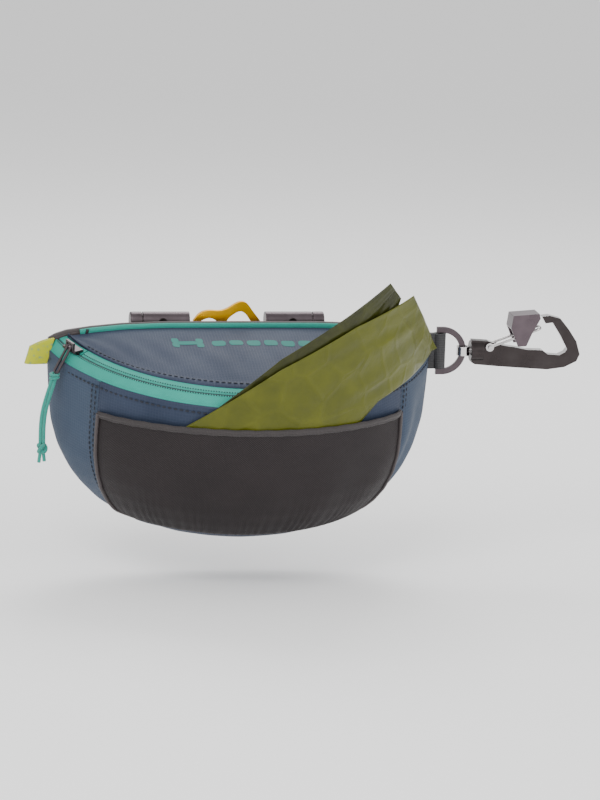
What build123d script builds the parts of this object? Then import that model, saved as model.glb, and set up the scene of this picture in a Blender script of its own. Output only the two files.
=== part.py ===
from build123d import *
from math import cos, hypot, pi, radians, sin, tan
import os

# Treat pouch in millimetres. +X is the wearer's left to right seen from the front, +Y points at the
# wearer, +Z is up. The origin is on the pouch's flat rear face, where the belt lies, below the belt clip.

# Driving sizes of the pouch
top_height = 19.0          # top edge's height above the belt point
half_chord = 100.0         # half the width between the zip's two ends
zip_depth = 76.0           # how far the zip bulges forward of the back panel
zip_drop = 7.0            # zip's ends below the top edge
zip_tilt = 12.6            # degrees that the zip's plane slopes down to the front
profile_radius = (100.0**2 + 76.0**2) / (2 * 76.0)    # zip radius for which the wall profiles are given
back_thickness = 1.6
fabric = 1.2
seam_angle = 49.0          # degrees from the middle to each front seam
corner_angle = 60.6        # degrees from the middle to the last part of the lid's zip
soft_gap = 0.3

# Zip
tape_thickness = 0.6
coil_gap = 1.2             # between the two coils, where the slider's post runs
coil_width = 1.1
slider_rest = -64.0
slider_half_angle = 2.7
slider_wall_clearance = 0.2
pull_wire_radius = 0.75
pull_length = 17.0
pull_width = 4.4
cord_width = 3.7

# Pocket and bags
pocket_clear = 112.2       # radius of the pocket's inner face for a zip of the profiles' radius
pocket_wall = 0.8
pocket_top = -15.0
hem_height = 3.4
bag_wall = 0.7

# Belt clip
rod_radius = 2.0
rod_clearance = 0.05
clip_length = 107.0
clip_shift = -6.0          # belt clip's middle from the pouch's middle
housing_radius = 5.0
rod_depth = 8.0            # rod's axis behind the rear face
base_thickness = 1.4
lever_thickness = 3.0
jaw_length = 46.0

# Ring and snap clip
stock_width = 3.2
stock_thickness = 2.0
ring_inside = 10.0
ring_leg = 1.7
ring_reach = 11.0           # D-ring's bar beyond the zip's end
ring_x = half_chord + ring_reach
ring_drop = 13.5
webbing_width = 19.4
webbing_thickness = 1.5
eye_outside = 3.6
eye_inside = 2.5
eye_height = 5.0
eye_stem = 3.0             # stem's start from the eye's middle, inside its wall
stem_radius = 2.0
head_radius = 3.0
stem_clearance = 0.08
clip_thickness = 5.5
wire_radius = 0.8
lock_wall = 1.5

# The zip is a circular arc in a tilted plane, and every fabric wall is turned about that circle's axis.
tilt_sin = sin(radians(zip_tilt))
tilt_cos = cos(radians(zip_tilt))
zip_radius = (half_chord**2 + zip_depth**2) / (2 * zip_depth)
axis_back = zip_radius - zip_depth
spread = zip_radius / profile_radius
pocket_inside = pocket_clear * spread
face_y = -back_thickness
chord_z = top_height - zip_drop
axis_point = Vector(0, face_y + axis_back * tilt_cos, chord_z + axis_back * tilt_sin)
axis_direction = Vector(0, -tilt_sin, tilt_cos)
zip_axis = Axis(axis_point, axis_direction)


def radial_plane(angle):
    """Plane that holds the zip's axis, at an angle from the middle: x is the radius, y the height."""
    forward = Vector(0, -tilt_cos, -tilt_sin)
    outward = forward * cos(radians(angle)) + Vector(sin(radians(angle)), 0, 0)
    return Plane(origin=axis_point, x_dir=outward, z_dir=outward.cross(axis_direction))


def placed(radius, height, angle):
    """A point from its radius, height and angle about the zip's axis."""
    forward = Vector(0, -tilt_cos, -tilt_sin)
    outward = forward * cos(radians(angle)) + Vector(sin(radians(angle)), 0, 0)
    return axis_point + outward * radius + axis_direction * height


def thick(points, wall):
    """Closed outline of a wall that runs along the points, its thickness to their right."""
    inner = []
    for index, (x, y) in enumerate(points):
        ahead = points[min(index + 1, len(points) - 1)]
        behind = points[max(index - 1, 0)]
        run = hypot(ahead[0] - behind[0], ahead[1] - behind[1])
        inner.append((x + wall * (ahead[1] - behind[1]) / run, y - wall * (ahead[0] - behind[0]) / run))
    return points + inner[::-1]


def fitted(points):
    """Profile points with their radii scaled to the zip's radius."""
    return [(x * spread, y) for x, y in points]


def swept(outline, start, end):
    """The outline turned about the zip's axis between two angles."""
    with BuildPart() as turned:
        with BuildSketch(radial_plane(start)):
            with BuildLine():
                Polyline(*outline, close=True)
            make_face()
        revolve(axis=zip_axis, revolution_arc=end - start)
    return turned.part


shell_points = fitted([
    (109.2, -4.6), (109.4, -20), (109.2, -42), (106.5, -56), (102.0, -67), (96.0, -77),
    (89.0, -86), (80.0, -93.5), (70.0, -98.8), (60.0, -102.4), (50.0, -105.0), (38.0, -107.0),
])
lid_points = fitted([(20.0, 7.2), (50.0, 7.1), (70.0, 6.4), (86.0, 4.9), (98.2, 3.0)])
upper_tape_points = [(98.4 * spread, 2.9), (zip_radius - coil_gap / 2, 0.6)]
lower_tape_points = [(zip_radius + coil_gap / 2, 0.6), (zip_radius + 2.2, 0.3),
                     (108.5 * spread, -3.8)]
front_space = Box(400, 300, 400, align=(Align.CENTER, Align.MAX, Align.CENTER))


def in_front(shape, y):
    """The part of a shape that lies in front of a plane."""
    return shape & (Pos(0, y, 0) * front_space)


def between(shape, low, high):
    """The part of a shape between two x values."""
    return shape & (Pos((low + high) / 2, 0, 0) * Box(high - low, 600, 600))


def save(part, label):
    """Labels a finished piece and writes it."""
    part.label = label
    export_step(part, f"parts/{label}.step")


def save_clip(part, label):
    """Saves a piece of the belt clip, moved to the clip's place along the pouch."""
    save(Pos(clip_shift, 0, 0) * part, label)


os.makedirs("parts", exist_ok=True)

# Back panel: the flat slab inside the outline that the turned walls leave on the rear plane
whole_outline = [(0.0, 8.2)] + [(x, y + 1.0) for x, y in lid_points] + [(zip_radius, 1.2)]
whole_outline += shell_points + [(0.0, -108.0)]
whole = swept(whole_outline, 0, 360)
with BuildPart() as back_panel:
    add(whole)
    with BuildSketch(Plane.XZ):
        Rectangle(400, 400)
    extrude(amount=back_thickness, mode=Mode.INTERSECT)
save(back_panel.part, "back_panel")

# Binding over the back panel's top edge, and the teal strip in front of it
binding_wall = 0.9
rim = swept(fitted([(0.0, 9.2), (20.0, 9.2), (50.0, 9.1), (70.0, 8.4), (86.0, 6.9), (98.5, 4.8),
             (98.5, 0.6), (86.0, 1.6), (70.0, 3.0), (50.0, 3.7), (0.0, 3.8)]), 0, 360)
with BuildPart() as top_binding:
    add(rim)
    with BuildSketch(Plane.XZ.offset(-binding_wall)):
        Rectangle(400, 400)
    extrude(amount=back_thickness + 2 * binding_wall, mode=Mode.INTERSECT)
    add(back_panel.part, mode=Mode.SUBTRACT)
save(top_binding.part, "top_binding")

trim_face = face_y - binding_wall
trim_thickness = 1.3
trim_rim = swept(fitted([(0.0, 8.0), (20.0, 8.0), (50.0, 7.9), (70.0, 7.2), (86.0, 5.7), (93.0, 4.5),
                  (93.0, 2.7), (86.0, 3.9), (70.0, 5.4), (50.0, 6.1), (0.0, 6.2)]), 0, 360)
with BuildPart() as teal_trim:
    add(trim_rim)
    with BuildSketch(Plane.XZ.offset(-trim_face)):
        Rectangle(400, 400)
    extrude(amount=trim_thickness, mode=Mode.INTERSECT)
save(teal_trim.part, "teal_trim")

# Front panel and side gussets: one turned wall, parted at the seams
turned_end = 100.0
wall_outline = thick(shell_points, fabric)
front_panel = in_front(swept(wall_outline, -seam_angle, seam_angle), face_y)
save(front_panel, "front_panel")
side_gusset_left = in_front(swept(wall_outline, -turned_end, -seam_angle), face_y)
save(side_gusset_left, "side_gusset_left")
side_gusset_right = in_front(swept(wall_outline, seam_angle, turned_end), face_y)
save(side_gusset_right, "side_gusset_right")

# Mesh pocket: an outer wall that closes onto the front panel at its foot
pocket_points = [
    (pocket_inside, pocket_top - hem_height), (pocket_inside, -42),
    *fitted([(109.5, -57), (105.0, -68.5), (99.0, -78.5), (92.0, -87.0)]),
]
pocket_span = seam_angle - 1.0
mesh_pocket = swept(thick(pocket_points, -pocket_wall), -pocket_span, pocket_span)
save(in_front(mesh_pocket, face_y), "mesh_pocket")
hem_outline = [
    (pocket_inside, pocket_top), (pocket_inside + 1.4, pocket_top),
    (pocket_inside + 1.4, pocket_top - hem_height + 0.05), (pocket_inside, pocket_top - hem_height + 0.05),
]
save(swept(hem_outline, -pocket_span, pocket_span), "pocket_hem")
side_outline = [
    (109.6 * spread, pocket_top), (pocket_inside - 0.05, pocket_top), (pocket_inside - 0.05, -42),
    *fitted([(109.3, -57), (104.9, -68.5), (98.8, -78.4), (91.9, -86.8), (89.8, -86.2),
             (96.7, -77.2), (102.6, -67.2), (107.0, -56.1), (109.7, -42.2)]),
]
edge_angle = 2.2
pocket_edges = Part() + [
    in_front(swept(side_outline, -pocket_span, -pocket_span + edge_angle), face_y),
    in_front(swept(side_outline, pocket_span - edge_angle, pocket_span), face_y),
    in_front(swept(fitted([(89.8, -86.2), (91.8, -86.8), (93.9, -84.2), (91.8, -83.7)]),
        -pocket_span + edge_angle,
                   pocket_span - edge_angle), face_y),
]
save(pocket_edges, "pocket_side_seams")

# Lower half of the zip, sewn to the pouch, with its corners, which cross to the lid's side
last_angle = 105.0
lower_tape = in_front(swept(thick(lower_tape_points, tape_thickness),
    -last_angle, last_angle), face_y - 0.1)
save(lower_tape, "lower_zip_tape")
coil_low = -1.5
lower_start = zip_radius + coil_gap / 2
lower_coil_outline = [
    (lower_start, coil_low), (lower_start + coil_width, coil_low),
    (lower_start + coil_width, -0.3), (lower_start, -0.15),
]
lower_coil = swept(lower_coil_outline, -corner_angle, corner_angle)
save(lower_coil, "lower_zip_coil")

lid_back = trim_face - trim_thickness - soft_gap
lid_half = 84.0 * half_chord / 100.0
lid_wall = thick(lid_points, fabric)
lid_full = in_front(swept(lid_wall, 0, 360), lid_back)
lid_panel = between(lid_full, -lid_half, lid_half)
save(lid_panel, "lid_panel")
corner_gap = 0.5
upper_tape_outline = thick(upper_tape_points, tape_thickness)
for side, name in ((-1, "left"), (1, "right")):
    low = min(side * 130, side * (lid_half + corner_gap))
    high = max(side * 130, side * (lid_half + corner_gap))
    fabric_corner = between(in_front(swept(lid_wall, 0, 360), lid_back), low, high)
    start = min(side * (corner_angle + 0.5), side * last_angle)
    corner_end = start + last_angle - corner_angle - 0.5
    tape_corner = in_front(swept(upper_tape_outline, start, corner_end), lid_back)
    save(fabric_corner, f"lid_corner_{name}")
    save(tape_corner, f"zip_end_tape_{name}")
upper_tape = swept(upper_tape_outline, -corner_angle, corner_angle)
save(upper_tape, "upper_zip_tape")
upper_end = zip_radius - coil_gap / 2
upper_coil_outline = [
    (upper_end - coil_width, coil_low), (upper_end, coil_low), (upper_end, -0.15),
    (upper_end - coil_width, 0.35),
]
save(swept(upper_coil_outline, -corner_angle, corner_angle), "upper_zip_coil")

# Small stops beyond the slider's two end places
stop_angle = -slider_rest + slider_half_angle + 0.8
stop_outline = [
    (lower_start, 0.65), (lower_start + 1.5, 0.4), (lower_start + 1.5, 1.6), (lower_start, 1.8),
]
stops = Part() + [
    swept(stop_outline, -stop_angle - 1.2, -stop_angle),
    swept(stop_outline, stop_angle, stop_angle + 1.2),
]
save(stops, "zip_stops")

# Slider: top and bottom plates joined by a post between the coils, and a bridge for the pull
plate_half = 3.2
post_half = coil_gap / 2 - slider_wall_clearance
slider_outline = [
    (zip_radius - plate_half, 2.2), (zip_radius - post_half, 2.2), (zip_radius - post_half, -2.9),
    (zip_radius - plate_half, -2.9), (zip_radius - plate_half, -4.0), (zip_radius + plate_half, -4.0),
    (zip_radius + plate_half, -2.9), (zip_radius + post_half, -2.9), (zip_radius + post_half, 2.2),
    (zip_radius + plate_half, 2.2), (zip_radius + plate_half - 0.6, 3.4),
    (zip_radius - plate_half + 0.6, 3.4),
]
bridge_half = 0.7
bridge_radius = zip_radius + 2.6
bridge_low = 2.8
bridge_high = 7.4
bridge_hole = 6.4
slider_turn = slider_half_angle
bridge_turn = 1.9
leg_turn = 0.6
slider_body = swept(slider_outline, slider_rest - slider_turn, slider_rest + slider_turn)
bridge_roof = [
    (bridge_radius - bridge_half, bridge_hole), (bridge_radius + bridge_half, bridge_hole),
    (bridge_radius + bridge_half, bridge_high), (bridge_radius - bridge_half, bridge_high),
]
bridge_leg = [
    (bridge_radius - bridge_half, bridge_low), (bridge_radius + bridge_half, bridge_low),
    (bridge_radius + bridge_half, bridge_high), (bridge_radius - bridge_half, bridge_high),
]
slider_body = slider_body + [
    swept(bridge_roof, slider_rest - bridge_turn, slider_rest + bridge_turn),
    swept(bridge_leg, slider_rest - bridge_turn, slider_rest - bridge_turn + leg_turn),
    swept(bridge_leg, slider_rest + bridge_turn - leg_turn, slider_rest + bridge_turn),
]
save(slider_body, "zip_slider")

# Pull: a wire loop through the bridge, then the doubled cord and its knot
pull_top = (bridge_radius, 5.5)
pull_slope = 30.0          # degrees that the wire leans out from the zip's axis direction
lean_sin = sin(radians(pull_slope))
lean_cos = cos(radians(pull_slope))
pull_plane_x = placed(1, 0, slider_rest + 90) - placed(0, 0, 0)
pull_down = (placed(1, 0, slider_rest) - placed(0, 0, 0)) * lean_sin - axis_direction * lean_cos
pull_start = placed(pull_top[0], pull_top[1], slider_rest)
pull_plane = Plane(origin=pull_start, x_dir=pull_plane_x, z_dir=pull_plane_x.cross(pull_down))
loop_half = pull_width / 2 - pull_wire_radius
with BuildPart() as pull_wire:
    with BuildLine(pull_plane):
        FilletPolyline(
            (-loop_half, 0), (loop_half, 0), (loop_half, pull_length), (-loop_half, pull_length),
            radius=loop_half * 0.8, close=True,
        )
    with BuildSketch(Plane(origin=pull_plane.from_local_coords((loop_half, pull_length / 2, 0)),
                           z_dir=pull_plane.y_dir)):
        Circle(pull_wire_radius)
    sweep()
save(pull_wire.part, "pull_wire")

cord_start = pull_plane.from_local_coords((0, pull_length + cord_width / 2 - pull_wire_radius, 0))
cord_start = cord_start + Vector(0, 0, -0.4)
cord_points = [
    cord_start,
    cord_start + Vector(-1.2, -0.2, -5.0),
    cord_start + Vector(-3.4, -0.3, -12.0),
    cord_start + Vector(-5.4, -0.3, -20.0),
    cord_start + Vector(-6.2, -0.4, -29.0),
    cord_start + Vector(-6.0, -0.2, -37.5),
]
knot_size = 4.6


def corner_radii(points):
    """Each corner's largest arc: 0.45 of its shorter run over the tangent of half the turn."""
    radii = []
    for before, corner, after in zip(points, points[1:], points[2:]):
        turn = (corner - before).get_angle(after - corner)
        shorter = min((corner - before).length, (after - corner).length)
        radii.append(0.45 * shorter / tan(radians(turn / 2)))
    return radii


cord_radii = corner_radii(cord_points)
print("pull cord radii", [round(radius, 1) for radius in cord_radii])
with BuildPart() as pull_cord:
    with BuildLine() as cord_route:
        FilletPolyline(*cord_points, radius=cord_radii)
    with BuildSketch(Plane(origin=cord_points[0], z_dir=cord_points[1] - cord_points[0])):
        Circle(cord_width / 2)
    sweep(path=cord_route.wires()[0])
cord_length = sum(edge.length for edge in cord_route.edges())
cord_section = pi * (cord_width / 2) ** 2
print("cord length", round(cord_length, 2),
      "volume share", round(pull_cord.part.volume / cord_length / cord_section, 4))
save(pull_cord.part, "pull_cord")
cord_end_direction = (cord_points[-1] - cord_points[-2]).normalized()
knot_height = 7.5
with BuildPart() as pull_knot:
    with BuildSketch(Plane(origin=cord_points[-1], z_dir=cord_end_direction)):
        Circle(cord_width / 2)
    with BuildSketch(Plane(origin=cord_points[-1] + cord_end_direction * knot_height / 2,
                           z_dir=cord_end_direction)):
        Circle(knot_size / 2 + 1.0)
    with BuildSketch(Plane(origin=cord_points[-1] + cord_end_direction * knot_height,
                           z_dir=cord_end_direction)):
        Circle(cord_width / 2)
    loft()
save(pull_knot.part, "pull_knot")

# Waste-bag film: two folded strips that stand in the pocket
bag_low = -40.0


def bag(inner, outline):
    """A film strip curved about the zip's axis, cut to an outline seen from the front."""
    strip = swept([(inner, bag_low), (inner + bag_wall, bag_low), (inner + bag_wall, 78), (inner, 78)],
        -30, 62)
    with BuildPart() as window:
        with BuildSketch(Plane.XZ):
            with BuildLine():
                Polyline(*outline, close=True)
            make_face()
        extrude(amount=160)
    return strip & window.part


front_outline = [(-36, -50), (50, -50), (62, -8), (100, 26), (96, 48), (84, 58), (18, 16), (-29, -18)]
rear_outline = [(-40, -50), (40, -50), (50, -10), (84, 30), (88, 56),
                (77, 66), (53, 48), (18, 21), (-5, 4), (-34, -18)]
bag_front = bag(111.2, front_outline)
save(bag_front, "bag_front")
bag_rear = bag(110.1, rear_outline)
save(bag_rear, "bag_rear")

# Grab loop at the left and webbing at the right
loop_x = -105.6
loop_z = chord_z - 3.5
with BuildPart() as grab_loop:
    with BuildSketch(Plane.XZ.offset(back_thickness / 2 + 2.6)):
        with Locations((loop_x - 3.8, loop_z - 4.0)):
            Ellipse(7.4, 9.4)
            Ellipse(4.2, 6.2, mode=Mode.SUBTRACT)
    extrude(amount=-5.2)
grab_cut = swept([(0, 40), (110.0, 40), (110.0, -60), (0, -60)], 0, 360)
grab_piece = grab_loop.part - grab_cut
save(grab_piece.solids().sort_by(SortBy.VOLUME)[-1], "grab_loop")

ring_z = top_height - ring_drop
ring_y = -back_thickness / 2
bar_hole = hypot(stock_width, stock_thickness) / 2 + 0.15
with BuildPart() as ring_webbing:
    with BuildSketch(Plane.XY.offset(ring_z - webbing_width / 2)):
        with Locations((ring_x, ring_y)):
            Circle(bar_hole + webbing_thickness)
        with Locations(((ring_x + half_chord - 2) / 2, ring_y)):
            Rectangle(ring_x - half_chord + 2, 2 * webbing_thickness)
        with Locations((ring_x, ring_y)):
            Circle(bar_hole, mode=Mode.SUBTRACT)
    extrude(amount=webbing_width)
webbing_piece = ring_webbing.part - swept(whole_outline, 0, 360) - top_binding.part - lower_tape
webbing_piece = webbing_piece.solids().sort_by(SortBy.VOLUME)[-1]
save(webbing_piece, "ring_webbing")

# D-ring in the plane of the back panel
bow_x = ring_x + ring_leg
half_stock = stock_width / 2
ring_mean = ring_inside + half_stock
with BuildPart() as d_ring:
    with BuildSketch(Plane.XZ.offset(-ring_y - stock_thickness / 2)):
        with Locations((bow_x, ring_z)):
            Circle(ring_inside + stock_width)
        with Locations((bow_x - 50, ring_z)):
            Rectangle(100, 100, mode=Mode.SUBTRACT)
        with Locations(((ring_x - half_stock + bow_x) / 2, ring_z)):
            Rectangle(bow_x - ring_x + half_stock, 2 * (ring_inside + stock_width))
        with Locations((bow_x, ring_z)):
            Circle(ring_inside, mode=Mode.SUBTRACT)
        with Locations(((ring_x + half_stock + bow_x) / 2, ring_z)):
            Rectangle(bow_x - ring_x - half_stock, 2 * ring_inside, mode=Mode.SUBTRACT)
    extrude(amount=stock_thickness)
save(d_ring.part, "d_ring")

# Swivel eye round the bow, with a headed stem that turns inside the clip's collar
eye_x = bow_x + ring_mean + 0.2
clip_x = eye_x + eye_outside + 0.3
head_start = clip_x + 3.0
head_length = 1.6
with BuildPart() as swivel_eye:
    with BuildSketch(Plane.XY.offset(ring_z - eye_height / 2)):
        with Locations((eye_x, ring_y)):
            Circle(eye_outside)
    extrude(amount=eye_height)
    with BuildSketch(Plane(origin=(eye_x + eye_stem, ring_y, ring_z), x_dir=(0, 1, 0), z_dir=(1, 0, 0))):
        Circle(stem_radius)
    extrude(amount=head_start - eye_x - eye_stem)
    with BuildSketch(Plane(origin=(head_start, ring_y, ring_z), x_dir=(0, 1, 0), z_dir=(1, 0, 0))):
        Circle(head_radius)
    extrude(amount=head_length)
    with BuildSketch(Plane.XY.offset(ring_z - eye_height / 2)):
        with Locations((eye_x, ring_y)):
            Circle(eye_inside)
    extrude(amount=eye_height, mode=Mode.SUBTRACT)
save(swivel_eye.part, "swivel_eye")

# Clip body: a flat hook with a round collar, in its own u and v from the collar's face
body_outline = [
    (0.6, 6.2), (0.6, -6.2), (2.4, -7.2), (14.7, -8.3), (30.8, -9.4), (43.3, -10.2), (53.0, -8.9),
    (59.7, -5.6), (61.4, -1.7), (59.2, 5.6), (54.7, 12.2), (49.7, 18.3), (43.3, 20.0), (39.2, 19.4),
    (41.4, 15.6), (45.3, 16.1), (49.7, 9.4), (54.2, 1.1), (53.0, -0.6), (49.7, -2.2), (43.3, -1.7),
    (40.3, 0.6), (31.4, 0.9), (26.1, 2.0), (20.8, 2.8), (14.7, 4.0), (9.7, 5.6),
]
with BuildPart() as clip_body:
    with BuildSketch(Plane.XZ.offset(-ring_y - clip_thickness / 2)):
        with BuildLine():
            Polyline(*[(clip_x + u, ring_z + v) for u, v in body_outline], close=True)
        make_face()
    extrude(amount=clip_thickness)
    with BuildSketch(Plane(origin=(clip_x, ring_y, ring_z), x_dir=(0, 1, 0), z_dir=(1, 0, 0))):
        Circle(5.6)
    extrude(amount=7.0)
    with BuildSketch(Plane(origin=(clip_x - 1, ring_y, ring_z), x_dir=(0, 1, 0), z_dir=(1, 0, 0))):
        Circle(stem_radius + stem_clearance)
    extrude(amount=5.0, mode=Mode.SUBTRACT)
    with BuildSketch(Plane(origin=(head_start - 0.3, ring_y, ring_z), x_dir=(0, 1, 0), z_dir=(1, 0, 0))):
        Circle(head_radius + stem_clearance)
    extrude(amount=head_length + 0.6, mode=Mode.SUBTRACT)
    pivot_u = 10.2
    pivot_v = 2.6
    pivot_radius = 1.0
    with BuildSketch(Plane.XZ.offset(-ring_y - clip_thickness / 2)):
        with Locations((clip_x + pivot_u, ring_z + pivot_v)):
            Circle(pivot_radius)
    extrude(amount=clip_thickness, mode=Mode.SUBTRACT)
save(clip_body.part, "clip_body")
with BuildPart() as gate_pin:
    with BuildSketch(Plane.XZ.offset(-ring_y - clip_thickness / 2 - 3.2)):
        with Locations((clip_x + pivot_u, ring_z + pivot_v)):
            Circle(pivot_radius)
    extrude(amount=clip_thickness + 6.4)
save(gate_pin.part, "gate_pin")

# Gate: two wires beside the body that meet in a loop at the nose, on a pin through the body
gate_y = clip_thickness / 2 + wire_radius + 0.45
nose_u = 38.6
nose_v = 13.0
gate_length = hypot(nose_u - pivot_u, nose_v - pivot_v)
gate_plane = Plane(
    origin=(clip_x + pivot_u, ring_y, ring_z + pivot_v),
    x_dir=(nose_u - pivot_u, 0, nose_v - pivot_v),
    z_dir=Vector(nose_u - pivot_u, 0, nose_v - pivot_v).cross(Vector(0, 1, 0)),
)
with BuildPart() as gate_wire:
    with BuildLine(gate_plane):
        FilletPolyline((1.9, -gate_y), (gate_length, -gate_y), (gate_length, gate_y),
            (1.9, gate_y), radius=2.6)
    with BuildSketch(
                Plane(origin=gate_plane.from_local_coords((1.9, -gate_y, 0)), z_dir=gate_plane.x_dir)):
        Circle(wire_radius)
    sweep()
    for side in (-1, 1):
        with BuildSketch(Plane.XZ.offset(-ring_y + side * gate_y - wire_radius)):
            with Locations((clip_x + pivot_u, ring_z + pivot_v)):
                Circle(2.3)
                Circle(pivot_radius + 0.05, mode=Mode.SUBTRACT)
        extrude(amount=2 * wire_radius)
save(gate_wire.part, "gate_wire")

# Gate lock: a saddle that slides along the two wires, its cheeks outside the body
lock_outline = [(22.4, 20.5), (37.0, 21.6), (37.6, 19.0), (33.2, 10.8),
                (30.2, 3.6), (25.6, 3.4), (21.4, 13.4)]
lock_half = gate_y + wire_radius + 0.3 + lock_wall
with BuildPart() as gate_lock:
    with BuildSketch(Plane.XZ.offset(-ring_y - lock_half)):
        with BuildLine():
            Polyline(*[(clip_x + u, ring_z + v) for u, v in lock_outline], close=True)
        make_face()
    extrude(amount=2 * lock_half)
    with BuildSketch(Plane.XZ.offset(-ring_y - lock_half + lock_wall)):
        with BuildLine():
            Polyline(*[(clip_x + u, ring_z + v) for u, v in
                       ((0, -30), (70, -30), (70, 20.2), (34.0, 17.2), (20.0, 12.2), (0, 5.0))], close=True)
        make_face()
    extrude(amount=2 * (lock_half - lock_wall), mode=Mode.SUBTRACT)
save(gate_lock.part, "gate_lock")

# Belt clip: base plate on the rear face, two rod housings, rivets, rod, end caps, lever with its jaw
rod_z = top_height - 3.5
base_half = clip_length / 2 - 6
with BuildPart() as clip_base:
    with BuildSketch(Plane.XZ.offset(-base_thickness)):
        with Locations((0, rod_z - 2.5)):
            Rectangle(2 * base_half, 15)
    extrude(amount=base_thickness)
base_plate = Pos(clip_shift, 0, 0) * clip_base.part - top_binding.part
save(base_plate.solids().sort_by(SortBy.VOLUME)[-1], "clip_base_plate")
housing_inner = 21.0
housing_outer = clip_length / 2 - 7.0
housing_rise = 5.0         # round top's axis above the rod
housing_top_z = rod_z + housing_rise
block_middle = 1.0         # block's middle below the rod
block_height = 8.0
housing_back = 11.4        # block's rear face behind the rear panel
housing_depth = housing_back - base_thickness
housing_shift = (housing_back + base_thickness) / 2 - rod_depth
screw_radius = 2.3
screw_x = 35.8
screw_face = 3.4           # screws' outer faces behind the rear face
screw_length = 2.4
housing_pieces = []
for side in (-1, 1):
    with BuildPart() as housing:
        with BuildSketch(Plane(origin=(side * housing_inner, rod_depth, housing_top_z), x_dir=(0, 1, 0),
                               z_dir=(side, 0, 0))):
            Circle(housing_radius)
            with Locations((housing_shift, -side * (housing_rise + block_middle))):
                Rectangle(housing_depth, block_height)
        extrude(amount=housing_outer - housing_inner)
        with BuildSketch(Plane(origin=(side * housing_inner, rod_depth, rod_z), x_dir=(0, 1, 0),
                               z_dir=(side, 0, 0))):
            Circle(rod_radius)
        extrude(amount=housing_outer - housing_inner - 2.0, mode=Mode.SUBTRACT)
        with BuildSketch(Plane.XZ.offset(0)):
            with Locations((side * screw_x, housing_top_z)):
                Circle(screw_radius)
        extrude(amount=-screw_face - screw_length, mode=Mode.SUBTRACT)
    housing_pieces.append(housing.part)
save_clip(Part() + housing_pieces, "rod_housings")
with BuildPart() as housing_screws:
    with BuildSketch(Plane.XZ.offset(-screw_face)):
        with Locations((-screw_x, housing_top_z), (screw_x, housing_top_z)):
            Circle(screw_radius)
    extrude(amount=-screw_length)
save_clip(housing_screws.part, "housing_screws")
rivet_radius = 2.2
with BuildPart() as rivets:
    with BuildSketch(Plane.XZ.offset(-base_thickness)):
        with Locations((-base_half + 3.5, rod_z - 7.6), (base_half - 3.5, rod_z - 7.6)):
            Circle(rivet_radius)
    extrude(amount=-1.2)
save_clip(rivets.part, "clip_rivets")
rod_half = housing_outer - 2.0
with BuildPart() as hinge_rod:
    with BuildSketch(Plane(origin=(-rod_half, rod_depth, rod_z), x_dir=(0, 1, 0), z_dir=(1, 0, 0))):
        Circle(rod_radius)
    extrude(amount=2 * rod_half)
save_clip(hinge_rod.part, "hinge_rod")
cap_gap = 0.8
cap_length = 6.2
cap_pieces = []
for side in (-1, 1):
    with BuildPart() as cap:
        with BuildSketch(Plane(origin=(side * housing_outer, rod_depth, housing_top_z), x_dir=(0, 1, 0),
                               z_dir=(side, 0, 0))):
            Circle(housing_radius - 1.2)
        extrude(amount=cap_gap)
        with BuildSketch(Plane(origin=(side * (housing_outer + cap_gap), rod_depth, housing_top_z),
                               x_dir=(0, 1, 0), z_dir=(side, 0, 0))):
            Circle(housing_radius)
        extrude(amount=cap_length)
        fillet(cap.faces().sort_by(Axis.X)[0 if side < 0 else -1].edges(), 0.8)
    cap_pieces.append(cap.part)
save_clip(Part() + cap_pieces, "end_caps")

# Lever: a gold plate above the rod; the jaw hangs below it and presses the belt to the rear face
lever_half = 18.6
lever_plane = Plane.XZ.offset(-rod_depth - lever_thickness / 2)
knuckle_radius = rod_radius + rod_clearance
knuckle_outside = 3.2
lever_arch = [
    (-lever_half, 5.2), (-17.4, 6.9), (-15.9, 8.7), (-13.4, 10.2), (-9.9, 10.9), (-5.7, 10.7), (-2.3, 11.1),
    (1.1, 12.6), (4.5, 14.7), (7.9, 15.8), (10.5, 15.0),
        (13.0, 12.1), (15.6, 8.7), (17.7, 6.0), (lever_half, 4.7),
]
left_hole = [(-15.6, 3.6), (-14.6, 4.9), (-12.5, 6.1), (-9.9, 6.7), (-7.4, 6.1), (-5.9, 4.9), (-5.3, 3.6)]
right_hole = [(-0.2, 3.6), (0.0, 5.4), (1.4, 7.2), (4.5, 9.5),
              (7.5, 10.4), (9.6, 9.4), (11.7, 6.9), (14.3, 3.6)]
with BuildPart() as belt_lever:
    with BuildSketch(lever_plane):
        with BuildLine():
            Spline(*[(x, rod_z + z) for x, z in lever_arch])
            Polyline((lever_half, rod_z + 4.7), (lever_half, rod_z), (-lever_half, rod_z),
                     (-lever_half, rod_z + 5.2))
        make_face()
        for hole in (left_hole, right_hole):
            with BuildLine():
                Spline(*[(x, rod_z + z) for x, z in hole])
                Line((hole[-1][0], rod_z + hole[-1][1]), (hole[0][0], rod_z + hole[0][1]))
            make_face(mode=Mode.SUBTRACT)
    extrude(amount=lever_thickness)
    with BuildSketch(Plane(origin=(-lever_half, rod_depth, rod_z), x_dir=(0, 1, 0), z_dir=(1, 0, 0))):
        Circle(knuckle_outside)
    extrude(amount=2 * lever_half)
    with BuildSketch(Plane(origin=(-lever_half - 1, rod_depth, rod_z), x_dir=(0, 1, 0), z_dir=(1, 0, 0))):
        Circle(knuckle_radius)
    extrude(amount=2 * lever_half + 2, mode=Mode.SUBTRACT)
save_clip(belt_lever.part, "belt_lever")
jaw_tip = 2.2
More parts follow.
